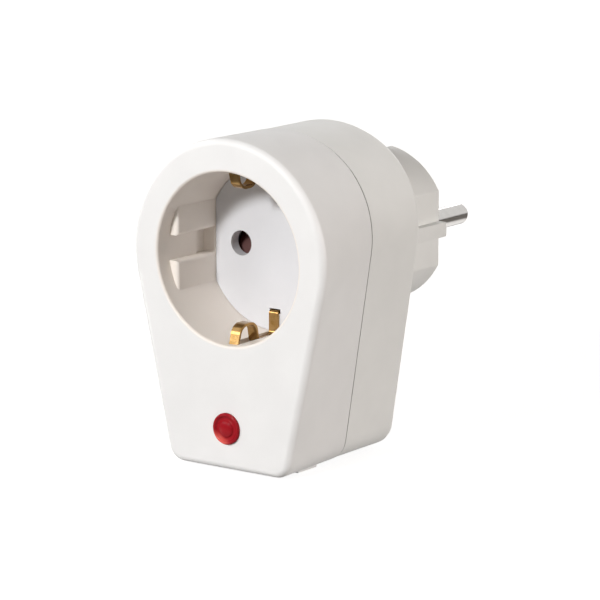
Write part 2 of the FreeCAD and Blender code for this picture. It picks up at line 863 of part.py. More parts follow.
def plug_earth():
    """Upper plug earth strip: inner leg, outer run in the groove and turned-in end."""
    inside = rivet_distance - rivet_head_radius - strip_tail
    run = earth_strip_outer - strap / 2
    end = -plug_round - strap / 2
    corners = [
        Vector(0, earth_leg, inside),
        Vector(0, earth_leg, run),
        Vector(0, end, run),
        Vector(0, end, plug_cavity_half_height),
    ]
    body = bent_strip(corners, [strip_bend, strip_bend], strap, 2 * earth_strip_half_width)
    hole = y_cylinder(0, rivet_distance, rivet_radius + rivet_gap, earth_leg - 1, earth_leg + 1)
    return one_solid(body.cut(hole))


def earth_bridge():
    """Pressed bridge that joins the socket's earth clips to the plug's earth strips."""
    half = strap_half_width
    rear = earth_leg - strap / 2
    front_strap = block(-half, half, strap_front, strap_front + strap, -strap_reach, strap_reach)
    rear_strap = block(-half, half, rear - strap, rear, -strap_reach, strap_reach)
    web = block(-strap / 2, strap / 2, strap_front, rear, -half, half)
    body = fused([front_strap, rear_strap, web])
    holes = []
    for z in (-rivet_distance, rivet_distance):
        radius = rivet_radius + rivet_gap
        holes.append(y_cylinder(0, z, radius, strap_front - 1, strap_front + strap + 1))
        holes.append(y_cylinder(0, z, radius, rear - strap - 1, rear + 1))
    return one_solid(body.cut(holes))


def earth_rivets():
    rear = earth_leg - strap / 2
    rivets = []
    for z in (-rivet_distance, rivet_distance):
        rivets.append(rivet(0, z, strap_front - strip, strap_front + strap))
        rivets.append(rivet(0, z, rear - strap, rear + strap))
    return Part.makeCompound(rivets)


def housing_screws():
    """Three screws, put in from the rear at the bottom of deep holes."""
    screws = []
    for x, z in screw_places():
        seat = rear_face - screw_head_depth
        tip = seat - screw_length
        shank = screw_radius - screw_bite
        profile = [
            (0, tip),
            (shank * 0.4, tip),
            (shank, tip + screw_point),
            (shank, seat),
            (screw_head_radius, seat),
            (screw_head_radius, seat + screw_head_length * 0.6),
            (screw_head_radius * 0.7, seat + screw_head_length),
            (0, seat + screw_head_length),
        ]
        screw = turned(profile, x, z)
        screws.append(screw.cut(cross_recess(x, z, seat + screw_head_length)))
    return Part.makeCompound(screws)


def cross_recess(x, z, top):
    """Cross-shaped drive recess in a screw head."""
    length = screw_head_radius * 0.6
    half = drive_half_width
    start = top - drive_depth
    bar = block(x - length, x + length, start, top + 1, z - half, z + half)
    return fused([bar, block(x - half, x + half, start, top + 1, z - length, z + length)])


def indicator_lens():
    """Red lens: rounded flange, shallow trough and dome in front, hollow barrel behind."""
    face = front_face
    rim = face - lens_flange
    profile = [
        (0, face - lens_flange * 1.35),
        (lens_dome_radius * 0.55, face - lens_flange * 1.22),
        (lens_dome_radius * 0.85, face - lens_flange * 0.92),
        (lens_dome_radius, face - lens_flange * 0.45),
        (lens_dome_radius + 0.8, face - lens_flange * 0.45),
        (lens_flange_radius - 0.7, rim),
        (lens_flange_radius - 0.35, rim + 0.05),
        (lens_flange_radius - 0.08, rim + 0.25),
        (lens_flange_radius, face - 0.1),
        (lens_flange_radius, face),
        (lens_barrel_radius, face),
        (lens_barrel_radius, face + lens_barrel_length),
        (lens_bore, face + lens_barrel_length),
        (lens_bore, face + 1.0),
        (0, face + 0.7),
    ]
    return turned(profile, 0, -indicator_drop)


def indicator_lamp():
    """Glow lamp: glass bulb with a round nose and two leads that reach through the board."""
    start = front_face + lamp_start
    end = start + lamp_length
    bulb = y_cylinder(0, -indicator_drop, lamp_radius, start + lamp_radius, end)
    nose = Part.makeSphere(lamp_radius, Vector(0, start + lamp_radius, -indicator_drop))
    parts = [bulb, nose]
    for x in (-lamp_lead_offset, lamp_lead_offset):
        parts.append(y_cylinder(x, -indicator_drop, lead_radius * 0.7, end - 0.5, board_back + 0.6))
    return fused(parts)


def lead_holes():
    """Places (x, z) and radii of the holes in the circuit board."""
    holes = [(x, -indicator_drop, lead_radius) for x in (-lamp_lead_offset, lamp_lead_offset)]
    for x in varistor_places():
        holes.append((x, -varistor_drop - varistor_radius / 2, lead_radius + 0.1))
        holes.append((x, -varistor_drop + varistor_radius / 2, lead_radius + 0.1))
    for x, length, radius in axial_places():
        reach = length / 2 + lead_reach
        holes.append((x - reach, -axial_drop, lead_radius + 0.1))
        holes.append((x + reach, -axial_drop, lead_radius + 0.1))
    return holes


def circuit_board():
    half = board_half_width
    board = block(-half, half, board_front, board_back, -board_bottom, -board_top)
    start, end = board_front - 1, board_back + 1
    return one_solid(board.cut([y_cylinder(x, z, radius, start, end) for x, z, radius in lead_holes()]))


def varistor_places():
    return (-varistor_pitch, 0, varistor_pitch)


def varistor(x):
    """Coated disc that stands behind the board on two leads."""
    centre = board_back + 2 * varistor_gap + varistor_radius
    half = varistor_thickness / 2
    corner = Vector(x - half, centre, -varistor_drop)
    disc = Part.makeCylinder(varistor_radius, varistor_thickness, corner, Vector(1, 0, 0))
    disc = disc.makeFillet(varistor_thickness * 0.3, [edge for edge in disc.Edges if len(edge.Vertexes) == 1])
    parts = [disc]
    for side in (-1, 1):
        z = -varistor_drop + side * varistor_radius / 2
        parts.append(y_cylinder(x, z, lead_radius, board_front - 0.6, centre - varistor_radius * 0.6))
    return fused(parts)


def axial_places():
    """Thermal fuse and resistor: (x, body length, body radius)."""
    return [(-axial_offset, fuse_length, fuse_radius), (axial_offset, resistor_length, resistor_radius)]


def axial_part(x, length, radius):
    """Round component lying on the front of the board, with bent leads through it."""
    y = board_front - radius - 0.3
    reach = length / 2 + lead_reach
    body = Part.makeCylinder(radius, length, Vector(x - length / 2, y, -axial_drop), Vector(1, 0, 0))
    body = body.makeFillet(radius * 0.3, [edge for edge in body.Edges if len(edge.Vertexes) == 1])
    parts = [body]
    for side in (-1, 1):
        corners = [
            Vector(x + side * (length / 2 - 0.4), y, -axial_drop),
            Vector(x + side * reach, y, -axial_drop),
            Vector(x + side * reach, board_back + 0.5, -axial_drop),
        ]
        parts.append(round_wire(corners, [0.7], lead_radius))
    return one_solid(fused(parts))


def line_wire(x):
    """Insulated wire from the board up to the busbar on the same side."""
    turn = rear_face - 5.5
    chord = math.sqrt(plug_cavity_radius ** 2 - (half_pitch + wire_radius) ** 2)
    level = -chord + wire_radius + wire_gap
    end = cell_back + wire_end
    under_busbar = -busbar_web - strap / 2
    corners = [
        Vector(x, board_back, -wire_drop),
        Vector(x, turn, -wire_drop),
        Vector(x, turn, level),
        Vector(x, end, level),
        Vector(x, end, under_busbar),
    ]
    return round_wire(corners, [wire_bend, wire_bend, wire_bend], wire_radius)


def earth_wire():
    """Insulated wire from the board up to the web of the earth bridge."""
    turn = rear_face - 5.5
    corners = [
        Vector(0, board_back, -wire_drop),
        Vector(0, turn, -wire_drop),
        Vector(0, turn, -strap_half_width),
    ]
    return round_wire(corners, [wire_bend], wire_radius)


def nodes():
    """Every piece of the adapter under its own name."""
    fuse, resistor = axial_places()
    places = varistor_places()
    return {
        "front_shell": front_shell(),
        "rear_shell": rear_shell(),
        "socket_insert": socket_insert(),
        "contact_carrier": contact_carrier(),
        "shutter": shutter(),
        "shutter_spring": shutter_spring(),
        "socket_contact_left": mirrored_x(socket_contact()),
        "socket_contact_right": socket_contact(),
        "busbar_left": mirrored_x(busbar()),
        "busbar_right": busbar(),
        "contact_rivets": contact_rivets(),
        "plug_pin_left": mirrored_x(plug_pin()),
        "plug_pin_right": plug_pin(),
        "socket_earth_clip_top": mirrored_z(earth_clip()),
        "socket_earth_clip_bottom": earth_clip(),
        "earth_bridge": earth_bridge(),
        "earth_rivets": earth_rivets(),
        "plug_earth_strip_top": plug_earth(),
        "plug_earth_strip_bottom": mirrored_z(plug_earth()),
        "circuit_board": circuit_board(),
        "varistor_line_neutral": varistor(places[0]),
        "varistor_line_earth": varistor(places[1]),
        "varistor_neutral_earth": varistor(places[2]),
        "thermal_fuse": axial_part(*fuse),
        "lamp_resistor": axial_part(*resistor),
        "indicator_lamp": indicator_lamp(),
        "indicator_lens": indicator_lens(),
        "line_wire": line_wire(-half_pitch),
        "neutral_wire": line_wire(half_pitch),
        "earth_wire": earth_wire(),
        "housing_screws": housing_screws(),
    }


def main():
    os.makedirs("parts", exist_ok=True)
    for name, shape in nodes().items():
        shape.exportStep(os.path.join("parts", name + ".step"))
        print(name, len(shape.Solids), shape.isValid(), round(shape.Volume, 1))


main()
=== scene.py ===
"""Dresses the surge protector adapter: a finish for each piece, the red lens and a pale studio."""

import logging
import math
from abc import ABC, abstractmethod
from dataclasses import dataclass, field
from enum import Enum
from typing import ClassVar

import bpy
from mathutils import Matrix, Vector


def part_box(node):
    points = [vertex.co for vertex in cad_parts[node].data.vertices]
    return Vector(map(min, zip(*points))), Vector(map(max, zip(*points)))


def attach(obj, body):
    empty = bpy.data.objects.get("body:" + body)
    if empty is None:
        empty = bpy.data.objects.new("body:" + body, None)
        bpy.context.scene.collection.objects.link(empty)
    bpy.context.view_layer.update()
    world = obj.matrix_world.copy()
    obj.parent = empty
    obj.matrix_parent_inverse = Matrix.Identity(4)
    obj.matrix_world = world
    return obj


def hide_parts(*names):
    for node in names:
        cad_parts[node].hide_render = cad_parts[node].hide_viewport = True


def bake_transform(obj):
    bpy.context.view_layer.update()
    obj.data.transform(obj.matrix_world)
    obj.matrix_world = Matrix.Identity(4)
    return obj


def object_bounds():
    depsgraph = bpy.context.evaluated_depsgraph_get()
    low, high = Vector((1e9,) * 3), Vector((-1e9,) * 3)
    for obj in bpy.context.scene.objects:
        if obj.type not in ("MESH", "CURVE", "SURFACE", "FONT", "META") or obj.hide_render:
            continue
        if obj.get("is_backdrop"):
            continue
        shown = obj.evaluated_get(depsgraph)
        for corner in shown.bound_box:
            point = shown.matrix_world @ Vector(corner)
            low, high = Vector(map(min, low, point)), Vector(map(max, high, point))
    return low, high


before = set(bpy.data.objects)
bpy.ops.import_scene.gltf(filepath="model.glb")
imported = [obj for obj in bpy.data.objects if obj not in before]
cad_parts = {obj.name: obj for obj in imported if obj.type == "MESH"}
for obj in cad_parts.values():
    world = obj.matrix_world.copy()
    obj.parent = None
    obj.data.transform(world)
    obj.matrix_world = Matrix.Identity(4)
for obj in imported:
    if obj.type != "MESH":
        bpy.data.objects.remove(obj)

log = logging.getLogger("adapter")

Colour = tuple[float, float, float]
Paint = tuple[float, float, float, float]
Point = tuple[float, float, float]
Range = tuple[float, float]
Profile = list[tuple[float, float]]
Signal = bpy.types.NodeSocket

MILLIMETRE = 0.001
EVEN: Point = (1.0, 1.0, 1.0)
WHITE: Paint = (1.0, 1.0, 1.0, 1.0)
NOISE_SPAN: Range = (0.3, 0.7)
MIX_FACTOR, MIX_FIRST, MIX_SECOND, MIX_RESULT = 0, 6, 7, 2
STREAK_WIDTH = 0.12 * MILLIMETRE
STREAK_SHARE = 0.04


class Axis(Enum):
    """An axis of the frame: a direction for streaks, or a part of a vector."""

    X = (1.0, 0.0, 0.0)
    Y = (0.0, 1.0, 0.0)
    Z = (0.0, 0.0, 1.0)


class Body(Enum):
    """The two bodies that pieces ride on."""

    ADAPTER = "adapter"
    SHUTTER = "shutter"


class Rays(Enum):
    """Kinds of rays, each with the outputs of the light path that tell it."""

    DIRECT = ("Is Camera Ray",)
    MIRRORED = ("Is Glossy Ray", "Is Transmission Ray")


def tinted(colour: Colour, share: float = 1.0) -> Paint:
    """Scales a colour's brightness.

    Args:
        colour: Linear red, green and blue.
        share: Factor on all three.

    Returns:
        The scaled colour with full opacity.
    """
    red, green, blue = (min(channel * share, 1.0) for channel in colour)
    return red, green, blue, 1.0


@dataclass(frozen=True)
class Grain:
    """A noise pattern.

    Args:
        size: Width of one grain in metres.
        stretch: Scale on each axis; a share below 1 draws the grains out along that axis.
        detail: Number of finer layers.
    """

    size: float
    stretch: Point = EVEN
    detail: float = 3.0

    @classmethod
    def along(cls, axis: Axis, size: float, share: float, detail: float = 3.0) -> "Grain":
        """Makes a pattern of streaks.

        Args:
            axis: Direction of the streaks.
            size: Width of a streak in metres.
            share: Width of a streak over its length.
            detail: Number of finer layers.

        Returns:
            The pattern.
        """
        across_x, across_y, across_z = (share if part else 1.0 for part in axis.value)
        return cls(size, (across_x, across_y, across_z), detail)


class NodeSheet:
    """The node tree of a material or of the world, with short ways to add and join its nodes."""

    def __init__(self, owner: bpy.types.Material | bpy.types.World, output: str) -> None:
        """Empties the tree and adds its output.

        Args:
            owner: The material or the world.
            output: Type of the output node.
        """
        owner.use_nodes = True
        self.owner = owner
        self.tree = owner.node_tree
        self.tree.nodes.clear()
        self.output = self.add(output)

    def feed(self, source: object, target: Signal) -> None:
        """Links a signal to an input, or writes a constant on it.

        Args:
            source: A signal, or the constant.
            target: The input.
        """
        if isinstance(source, bpy.types.NodeSocket):
            self.tree.links.new(source, target)
        else:
            target.default_value = source

    def add(self, kind: str, inputs: dict | None = None, **settings: object) -> bpy.types.Node:
        """Adds a node.

        Args:
            kind: The node's type.
            inputs: Signals and constants, by the input's name or number.
            settings: Properties of the node, by name.

        Returns:
            The new node.
        """
        node = self.tree.nodes.new(kind)
        for key, value in settings.items():
            setattr(node, key, value)
        for key, value in (inputs or {}).items():
            self.feed(value, node.inputs[key])
        return node

    def show(self, shader: bpy.types.Node) -> None:
        """Wires a shader's first output to the tree's output."""
        self.feed(shader.outputs[0], self.output.inputs["Surface"])

    def place(self, stretch: Point = EVEN) -> Signal:
        """Gives the surface point in metres.

        Args:
            stretch: Scale on each axis.

        Returns:
            The point.
        """
        where = self.add("ShaderNodeTexCoord").outputs["Object"]
        if stretch == EVEN:
            return where
        return self.add("ShaderNodeMapping", {"Scale": stretch, "Vector": where}).outputs["Vector"]

    def part(self, vector: Signal, axis: Axis) -> Signal:
        """Gives a vector's part along an axis.

        Args:
            vector: The vector.
            axis: The axis.

        Returns:
            The part.
        """
        return self.add("ShaderNodeSeparateXYZ", {0: vector}).outputs[axis.name]

    def distance(self, kept: Point) -> Signal:
        """Gives the surface point's distance from the frame's origin.

        Args:
            kept: 1 on the axes that count and 0 on the others.

        Returns:
            The distance in metres.
        """
        length = self.add("ShaderNodeVectorMath", {0: self.place(kept)}, operation="LENGTH")
        return length.outputs["Value"]

    def compute(self, operation: str, *terms: Signal | float, clamp: bool = False) -> Signal:
        """Works on numbers.

        Args:
            operation: Name of the sum, product or comparison.
            terms: Its signals and constants, in order.
            clamp: Whether the result is held between 0 and 1.

        Returns:
            The result.
        """
        inputs = dict(enumerate(terms))
        return self.add("ShaderNodeMath", inputs, operation=operation, use_clamp=clamp).outputs[0]

    def span(self, value: Signal, source: Range, target: Range, smooth: bool = True) -> Signal:
        """Maps one range to another and holds the ends.

        Args:
            value: The value.
            source: Its two ends.
            target: The results at those ends.
            smooth: Whether the result levels off towards the ends.

        Returns:
            The mapped value.
        """
        places = ("From Min", "From Max", "To Min", "To Max")
        inputs = {"Value": value, **dict(zip(places, (*source, *target)))}
        shape = "SMOOTHSTEP" if smooth else "LINEAR"
        return self.add("ShaderNodeMapRange", inputs, interpolation_type=shape).outputs["Result"]

    def noise(self, grain: Grain) -> Signal:
        """Adds a noise texture.

        Args:
            grain: The pattern.

        Returns:
            The texture's value, about 0 to 1.
        """
        inputs = {"Scale": 1.0 / grain.size, "Detail": grain.detail,
                  "Vector": self.place(grain.stretch)}
        return self.add("ShaderNodeTexNoise", inputs).outputs["Fac"]

    def spread(self, grain: Grain, target: Range = (0.0, 1.0)) -> Signal:
        """Maps the middle of a noise to a range.

        Args:
            grain: The pattern.
            target: Results at the two ends of the noise's middle.

        Returns:
            The mapped value.
        """
        return self.span(self.noise(grain), NOISE_SPAN, target, smooth=False)

    def blend(self, factor: Signal, first: Signal | Paint, second: Signal | Paint) -> Signal:
        """Mixes two colours by a factor.

        Args:
            factor: 0 gives the first colour and 1 the second.
            first: A colour, or a signal that gives it.
            second: A colour, or a signal that gives it.

        Returns:
            The mixed colour.
        """
        inputs = {MIX_FACTOR: factor, MIX_FIRST: first, MIX_SECOND: second}
        return self.add("ShaderNodeMix", inputs, data_type="RGBA").outputs[MIX_RESULT]

    def struck_by(self, rays: Rays) -> Signal:
        """Tells whether a ray is of a kind.

        Args:
            rays: The kind.

        Returns:
            1 for those rays and 0 for others.
        """
        path = self.add("ShaderNodeLightPath")
        result = path.outputs[rays.value[0]]
        for output in rays.value[1:]:
            result = self.compute("MAXIMUM", result, path.outputs[output])
        return result


@dataclass(frozen=True)
class Finish:
    """A surface with a clouded colour, an uneven polish and a fine relief.

    Args:
        name: Material name.
        colour: Linear base colour.
        shades: Shares of the base colour in the darkest and the lightest clouds.
        cloud: Pattern of the clouds.
        roughness: Roughness where it is smoothest and where it is dullest.
        polish: Pattern of the roughness, or None for the relief's own.
        relief: Pattern of the height.
        depth: Height of a full step of the relief, in metres.
    """

    SETTINGS: ClassVar[dict[str, float]] = {"IOR": 1.5}

    name: str
    colour: Colour
    shades: Range = (0.98, 1.02)
    cloud: Grain = Grain(9 * MILLIMETRE)
    roughness: Range = (0.36, 0.44)
    polish: Grain | None = Grain(2.5 * MILLIMETRE)
    relief: Grain = Grain(0.22 * MILLIMETRE)
    depth: float = 0.012 * MILLIMETRE

    def ends(self) -> tuple[Paint, Paint]:
        """Gives the colours of the two extremes of the clouds.

        Returns:
            The first and the second colour.
        """
        darkest, lightest = self.shades
        return tinted(self.colour, darkest), tinted(self.colour, lightest)

    def paint(self, sheet: NodeSheet) -> Signal:
        """Adds the nodes of the colour.

        Args:
            sheet: The node tree.

        Returns:
            The base colour.
        """
        return sheet.blend(sheet.spread(self.cloud), *self.ends())

    def make(self) -> bpy.types.Material:
        """Builds the material.

        Returns:
            The finished material.
        """
        sheet = NodeSheet(bpy.data.materials.new(self.name), "ShaderNodeOutputMaterial")
        height = {"Strength": 1.0, "Distance": self.depth, "Height": sheet.noise(self.relief)}
        inputs = {
            "Base Color": self.paint(sheet),
            "Roughness": sheet.spread(self.polish or self.relief, self.roughness),
            "Normal": sheet.add("ShaderNodeBump", height).outputs["Normal"],
            **self.SETTINGS,
        }
        sheet.show(sheet.add("ShaderNodeBsdfPrincipled", inputs))
        return sheet.owner

    def dress(self, *nodes: str) -> None:
        """Builds the material and puts it on every slot of some fixed pieces.

        Args:
            nodes: Names of the pieces.
        """
        material = self.make()
        for name in nodes:
            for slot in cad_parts[name].material_slots:
                slot.material = material
            log.info("%s: %s", name, material.name)


@dataclass(frozen=True)
class MouldedPlastic(Finish):
    """Opaque moulded plastic with a fine spark-eroded grain."""


@dataclass(frozen=True)
class ShellPlastic(MouldedPlastic):
    """Plastic of a shell, with painted shade in the joint and, on the front shell, a warmer colour
    painted in the recess as its warm shade.

    Args:
        joint: Y of the middle of the joint between the shells, in metres.
        joint_half: Half the joint's width in metres.
        joint_painted_shade: Share of the colour left inside the joint, painted there as the shade
            of the gap between the shells.
        recess: Linear colour painted on the socket recess's walls as their warm shade, or None on a
            shell without it.
        recess_radius: Distance from the socket's axis within which they lie, in metres.
        recess_edge: Half the width over which their colour fades at that distance.
        pocket_span: Y where the walls' pockets begin to lie farther out, and Y of their full reach.
        pocket_reach: How much farther out the pockets lie, in metres.
    """

    joint: float = field(kw_only=True)
    joint_half: float = 0.23 * MILLIMETRE
    joint_painted_shade: float = 0.85
    recess: Colour | None = None
    recess_radius: float = 20.0 * MILLIMETRE
    recess_edge: float = 0.3 * MILLIMETRE
    pocket_span: Range = (-56 * MILLIMETRE, -55 * MILLIMETRE)
    pocket_reach: float = 3.5 * MILLIMETRE

    def inside_recess(self, sheet: NodeSheet, depth: Signal) -> Signal:
        """Tells the recess's walls and pockets, where the warm shade is painted, from the rest of
        the shell.

        Args:
            sheet: The node tree.
            depth: Y of the surface point.

        Returns:
            1 on them and 0 elsewhere.
        """
        reach = sheet.span(depth, self.pocket_span, (0.0, self.pocket_reach))
        nearer = sheet.compute("SUBTRACT", sheet.distance((1.0, 0.0, 1.0)), reach)
        fade = (self.recess_radius + self.recess_edge, self.recess_radius - self.recess_edge)
        return sheet.span(nearer, fade, (0.0, 1.0), smooth=False)

    def paint(self, sheet: NodeSheet) -> Signal:
        """Adds the nodes of the colour, with painted shade in the recess and in the joint.

        Args:
            sheet: The node tree.

        Returns:
            The base colour.
        """
        colour = super().paint(sheet)
        depth = sheet.part(sheet.place(), Axis.Y)
        # Painted shade: the recess's walls and pockets get a warmer colour standing in for the warm
        # bounced shade inside the recess.
        if self.recess is not None:
            colour = sheet.blend(self.inside_recess(sheet, depth), colour, tinted(self.recess))
        # Painted shade: the walls inside the joint between the shells are darkened as if in the
        # gap's shadow.
        inside = sheet.compute("COMPARE", depth, self.joint, self.joint_half)
        return sheet.blend(inside, colour, tinted(self.colour, self.joint_painted_shade))


@dataclass(frozen=True)
class SheetMetal(Finish):
    """Rolled or drawn metal with streaks along one axis and a faint tarnish.

    Args:
        tarnish: Linear colour of the duller patches.
    """

    SETTINGS: ClassVar[dict[str, float]] = {"Metallic": 1.0}

    cloud: Grain = Grain(1.8 * MILLIMETRE)
    polish: Grain | None = None
    relief: Grain = Grain.along(Axis.Y, STREAK_WIDTH, STREAK_SHARE)
    depth: float = 0.003 * MILLIMETRE
    tarnish: Colour = field(kw_only=True)

    def ends(self) -> tuple[Paint, Paint]:
        """Gives the colours of the tarnish and of the clean metal.

        Returns:
            The first and the second colour.
        """
        return tinted(self.tarnish), tinted(self.colour)


@dataclass(frozen=True)
class LensPlastic(Finish):
    """Clear red plastic of the lens, with a painted pool of light: lighter low on the left, where
    light from above would gather in it.

    Args:
        centre: Middle of the lens in metres.
        radius: The lens's radius in metres.
        painted_pool_colour: Linear colour of the painted pool of light.
        flow: Share by which the colour varies.
        pool_side: Direction in which the painted pool of light lies.
        pool_from: Distance from the middle at which the pool starts, as a share of the radius.
    """

    SETTINGS: ClassVar[dict[str, float]] = {"IOR": 1.49, "Specular IOR Level": 0.1}

    colour: Colour = (0.31, 0.002, 0.01)
    cloud: Grain = Grain(1.4 * MILLIMETRE)
    roughness: Range = (0.14, 0.2)
    polish: Grain | None = Grain(0.6 * MILLIMETRE)
    relief: Grain = Grain(0.5 * MILLIMETRE)
    depth: float = 0.002 * MILLIMETRE
    centre: Point = field(kw_only=True)
    radius: float = field(kw_only=True)
    painted_pool_colour: Colour = (0.80, 0.13, 0.10)
    flow: float = 0.08
    pool_side: Point = (-0.5, 0.0, -0.87)
    pool_from: float = 0.45

    def paint(self, sheet: NodeSheet) -> Signal:
        """Adds the nodes of the colour, which turns lighter towards the pool's side as a painted
        pool of light.

        Args:
            sheet: The node tree.

        Returns:
            The base colour.
        """
        # Painted light: the colour turns lighter towards the pool's side, standing in for light
        # gathering low in the clear plastic.
        inputs = {0: sheet.place(), 1: self.pool_side}
        along = sheet.add("ShaderNodeVectorMath", inputs, operation="DOT_PRODUCT")
        middle = sum(part * share for part, share in zip(self.centre, self.pool_side))
        ends = (middle + self.pool_from * self.radius, middle + self.radius)
        pool = sheet.span(along.outputs["Value"], ends, (0.0, 1.0))
        flowing = sheet.spread(self.cloud, (0.0, self.flow))
        factor = sheet.compute("ADD", pool, flowing, clamp=True)
        return sheet.blend(factor, tinted(self.colour), tinted(self.painted_pool_colour))


@dataclass(frozen=True)
class BoardLaminate(Finish):
    """Paper laminate of the circuit board, with its fibres.

    Args:
        fibre: Linear colour of the fibres.
    """

    colour: Colour = (0.55, 0.40, 0.19)
    cloud: Grain = Grain.along(Axis.X, 0.25 * MILLIMETRE, 0.25, detail=5.0)
    roughness: Range = (0.45, 0.6)
    polish: Grain | None = Grain(1.0 * MILLIMETRE)
    relief: Grain = Grain.along(Axis.X, 0.25 * MILLIMETRE, 0.25, detail=5.0)
    depth: float = 0.01 * MILLIMETRE
    fibre: Colour = (0.70, 0.56, 0.32)

    def ends(self) -> tuple[Paint, Paint]:
        """Gives the colours of the resin and of the fibres.

        Returns:
            The first and the second colour.
        """
        return tinted(self.colour), tinted(self.fibre)


@dataclass(frozen=True)
class BandedBody(Finish):
    """Lacquered body, plain or with coloured bands across its axis.

    Args:
        bands: Pairs of a place along X in metres and the band's linear colour.
        band_width: Width of a band in metres.
    """

    SETTINGS: ClassVar[dict[str, float]] = {"IOR": 1.5, "Coat Weight": 0.3}

    shades: Range = (0.92, 1.05)
    cloud: Grain = Grain(1.5 * MILLIMETRE)
    roughness: Range = (0.3, 0.42)
    polish: Grain | None = Grain(0.8 * MILLIMETRE)
    relief: Grain = Grain(0.6 * MILLIMETRE)
    depth: float = 0.01 * MILLIMETRE
    bands: tuple[tuple[float, Colour], ...] = ()
    band_width: float = 0.6 * MILLIMETRE

    def paint(self, sheet: NodeSheet) -> Signal:
        """Adds the nodes of the colour, with the bands over it.

        Args:
            sheet: The node tree.

        Returns:
            The base colour.
        """
        colour = super().paint(sheet)
        along = sheet.part(sheet.place(), Axis.X)
        for place, paint in self.bands:
            inside = sheet.compute("COMPARE", along, place, self.band_width / 2)
            colour = sheet.blend(inside, colour, tinted(paint))
        return colour


@dataclass(frozen=True)
class Insulation(Finish):
    """Soft insulation of a wire, plain or with a stripe along one side.

    Args:
        stripe: Linear colour of the striped side, or None.
        stripe_from: X in metres beyond which the stripe shows.
    """

    shades: Range = (0.9, 1.08)
    cloud: Grain = Grain(1.2 * MILLIMETRE)
    roughness: Range = (0.42, 0.55)
    polish: Grain | None = Grain(0.7 * MILLIMETRE)
    relief: Grain = Grain(0.3 * MILLIMETRE)
    depth: float = 0.008 * MILLIMETRE
    stripe: Colour | None = None
    stripe_from: float = 0.0

    def paint(self, sheet: NodeSheet) -> Signal:
        """Adds the nodes of the colour, with the stripe over it.

        Args:
            sheet: The node tree.

        Returns:
            The base colour.
        """
        colour = super().paint(sheet)
        if self.stripe is None:
            return colour
        along = sheet.part(sheet.place(), Axis.X)
        beyond = sheet.compute("GREATER_THAN", along, self.stripe_from)
        return sheet.blend(beyond, colour, tinted(self.stripe))


@dataclass(frozen=True)
class LampGlass(Finish):
    """Glass of the glow lamp, with drawn streaks."""

    SETTINGS: ClassVar[dict[str, float]] = {"IOR": 1.5, "Transmission Weight": 0.85}

    colour: Colour = (0.95, 0.80, 0.70)
    shades: Range = (0.92, 1.0)
    cloud: Grain = Grain.along(Axis.Y, 0.5 * MILLIMETRE, 0.1)
    roughness: Range = (0.03, 0.09)
    polish: Grain | None = None
    relief: Grain = Grain.along(Axis.Y, 0.5 * MILLIMETRE, 0.1)
    depth: float = 0.004 * MILLIMETRE


def add_object(name: str, data: bpy.types.ID) -> bpy.types.Object:
    """Adds an object to the scene.

    Args:
        name: The object's name.
        data: Its mesh, camera or light.

    Returns:
        The object.
    """
    added = bpy.data.objects.new(name, data)
    bpy.context.scene.collection.objects.link(added)
    return added


def stand_off(added: bpy.types.Object, target: Point, bearing: float, height: float,
              distance: float) -> None:
    """Puts a camera or a lamp at a distance from a point and turns it to face the point.

    Args:
        added: The camera or the lamp.
        target: The point in metres.
        bearing: Degrees from straight ahead of the socket towards +X.
        height: Degrees above the horizon.
        distance: Metres from the point.
    """
    turn, rise = math.radians(bearing), math.radians(height)
    flat = math.cos(rise)
    away = Vector((math.sin(turn) * flat, -math.cos(turn) * flat, math.sin(rise)))
    added.location = Vector(target) + away * distance
    added.rotation_euler = (-away).to_track_quat("-Z", "Y").to_euler()


def turned_mesh(name: str, profile: Profile, centre: Point, segments: int) -> bpy.types.Object:
    """Turns a profile about a line along Y.

    Args:
        name: The piece's name.
        profile: Pairs of radius and Y, in metres; a radius of 0 closes the end.
        centre: A point of the axis; its Y isn't used.
        segments: Faces round the axis.

    Returns:
        The smooth-shaded piece.
    """
    vertices: list[Point] = []
    rings: list[list[int]] = []
    for radius, y in profile:
        ring = []
        for step in range(1 if radius == 0 else segments):
            angle = 2 * math.pi * step / segments
            ring.append(len(vertices))
            x, z = radius * math.cos(angle), radius * math.sin(angle)
            vertices.append((centre[0] + x, y, centre[2] + z))
        rings.append(ring)
    faces = []
    for first, second in zip(rings, rings[1:]):
        for step in range(segments):
            following = (step + 1) % segments
            corners = [first[step % len(first)], first[following % len(first)]]
            corners += [second[following % len(second)], second[step % len(second)]]
            faces.append(tuple(dict.fromkeys(corners)))
    mesh = bpy.data.meshes.new(name)
    mesh.from_pydata(vertices, [], faces)
    for polygon in mesh.polygons:
        polygon.use_smooth = True
    return add_object(name, mesh)


def arc_profile(centre: tuple[float, float], radius: float, sweep: Range, steps: int) -> Profile:
    """Points of an arc in a turning profile.

    Args:
        centre: Radius and Y of the arc's centre.
        radius: The arc's radius.
        sweep: First and last angle in degrees, 0 outwards and 90 towards +Y.
        steps: Number of spans.

    Returns:
        The points from the first angle to the last.
    """
    start, end = sweep
    points = []
    for step in range(steps + 1):
        angle = math.radians(start + (end - start) * step / steps)
        along, up = radius * math.cos(angle), radius * math.sin(angle)
        points.append((centre[0] + along, centre[1] + up))
    return points


class Assembly(ABC):
    """A group of pieces that belong together."""

    @abstractmethod
    def build(self) -> None:
        """Dresses the group's pieces, and builds those that take a fixed piece's place."""


